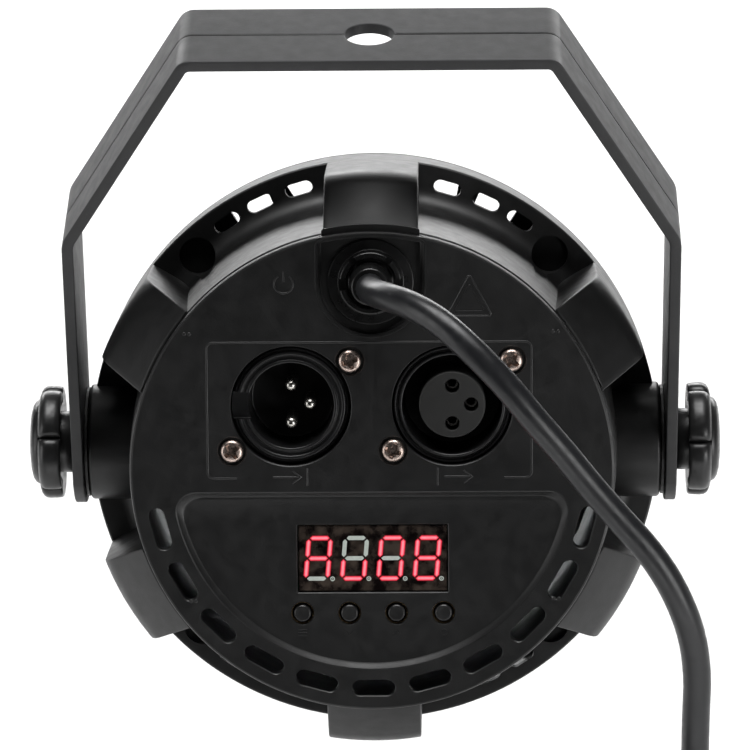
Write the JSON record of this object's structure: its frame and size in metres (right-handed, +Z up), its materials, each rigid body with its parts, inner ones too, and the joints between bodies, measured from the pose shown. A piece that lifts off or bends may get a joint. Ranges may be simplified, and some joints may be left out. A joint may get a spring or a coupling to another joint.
{
  "type": "par can light",
  "caption": "Compact round stage wash light with ribbed black case, rear control panel and sockets, held in a bent yoke by two clamp knobs, with a fixed mains lead.",
  "frame": {"origin": "centre of the hanging hole, on the top face of the yoke", "axes": "+Z up, +X to the right seen from behind the lamp, +Y the way the beam leaves; the rear panel faces -Y and is tilted back by 21 degrees at rest"},
  "size_m": [0.1496, 0.1381, 0.2703],
  "materials": {
    "yoke_black": "fine-grained matte moulding",
    "case_black": "satin moulding with a fine grain",
    "gloss_black": "gloss moulding",
    "connector_black": "satin moulding",
    "rubber_black": "matte moulded rubber",
    "cord_black": "smooth satin sheath",
    "loom_black": "smooth sleeve",
    "tie_black": "satin strap",
    "nickel": "nickel plate, lightly tarnished",
    "silver_contact": "bright silver plate",
    "brass": "bright machined",
    "aluminium": "as extruded",
    "white_board": "white solder mask",
    "green_board": "green solder mask",
    "clear": "clear polished",
    "display_film": "dark glossy film over red segments"
  },
  "bodies": {
    "yoke": {"yoke": "yoke_black"},
    "lamp": {"housing": "case_black", "rear_panel": "case_black", "front_bezel": "case_black", "xlr_female_insert": "gloss_black", "xlr_male_shell": "connector_black", "xlr_female_shell": "connector_black", "strain_relief": "rubber_black", "friction_washer_left": "rubber_black", "friction_washer_right": "rubber_black", "mains_plug": "rubber_black", "mains_lead": "cord_black", "mains_lead_coil": "cord_black", "mains_lead_tail": "cord_black", "mains_loom": "loom_black", "led_loom": "loom_black", "cable_tie": "tie_black", "xlr_screw_1": "nickel", "xlr_screw_2": "nickel", "xlr_screw_3": "nickel", "xlr_screw_4": "nickel", "case_screw_1": "nickel", "case_screw_2": "nickel", "case_screw_3": "nickel", "case_screw_4": "nickel", "xlr_male_contacts": "silver_contact", "threaded_insert_left": "brass", "threaded_insert_right": "brass", "plug_blade_left": "brass", "plug_blade_right": "brass", "plug_earth_pin": "brass", "heatsink": "aluminium", "led_board": "white_board", "driver_board": "green_board", "control_board": "green_board", "front_window": "clear", "lens_plate": "clear", "display_module": "display_film"},
    "clamp_screw_left": {"clamp_screw_left": "nickel"},
    "knob_left": {"knob_left": "gloss_black"},
    "clamp_screw_right": {"clamp_screw_right": "nickel"},
    "knob_right": {"knob_right": "gloss_black"},
    "button_1": {"button_1": "gloss_black"},
    "button_2": {"button_2": "gloss_black"},
    "button_3": {"button_3": "gloss_black"},
    "button_4": {"button_4": "gloss_black"}
  },
  "joints": [
    {"name": "lamp_tilt", "type": "hinge", "parent": "yoke", "child": "lamp", "pos_m": [0, 0, -0.0938], "axis": [1, 0, 0], "range_deg": [-55, 100]},
    {"name": "clamp_screw_left_travel", "type": "slide", "parent": "lamp", "child": "clamp_screw_left", "axis": [-1, 0, 0], "range_m": [0, 0.003]},
    {"name": "knob_left_turn", "type": "hinge", "parent": "clamp_screw_left", "child": "knob_left", "pos_m": [-0.0675, 0, -0.0938], "axis": [-1, 0, 0], "range_deg": [0, 1080]},
    {"name": "clamp_screw_right_travel", "type": "slide", "parent": "lamp", "child": "clamp_screw_right", "axis": [1, 0, 0], "range_m": [0, 0.003]},
    {"name": "knob_right_turn", "type": "hinge", "parent": "clamp_screw_right", "child": "knob_right", "pos_m": [0.0675, 0, -0.0938], "axis": [1, 0, 0], "range_deg": [0, 1080]},
    {"name": "button_1_press", "type": "slide", "parent": "lamp", "child": "button_1", "axis": [0, 0.9336, -0.3584], "range_m": [0, 0.0003], "stiffness_N_per_m": 2000},
    {"name": "button_2_press", "type": "slide", "parent": "lamp", "child": "button_2", "axis": [0, 0.9336, -0.3584], "range_m": [0, 0.0003], "stiffness_N_per_m": 2000},
    {"name": "button_3_press", "type": "slide", "parent": "lamp", "child": "button_3", "axis": [0, 0.9336, -0.3584], "range_m": [0, 0.0003], "stiffness_N_per_m": 2000},
    {"name": "button_4_press", "type": "slide", "parent": "lamp", "child": "button_4", "axis": [0, 0.9336, -0.3584], "range_m": [0, 0.0003], "stiffness_N_per_m": 2000}
  ],
  "couplings": [
    {"joint": "knob_left_turn", "follows": "clamp_screw_left_travel", "rad_per_m": 6283.2},
    {"joint": "knob_right_turn", "follows": "clamp_screw_right_travel", "rad_per_m": 6283.2}
  ]
}
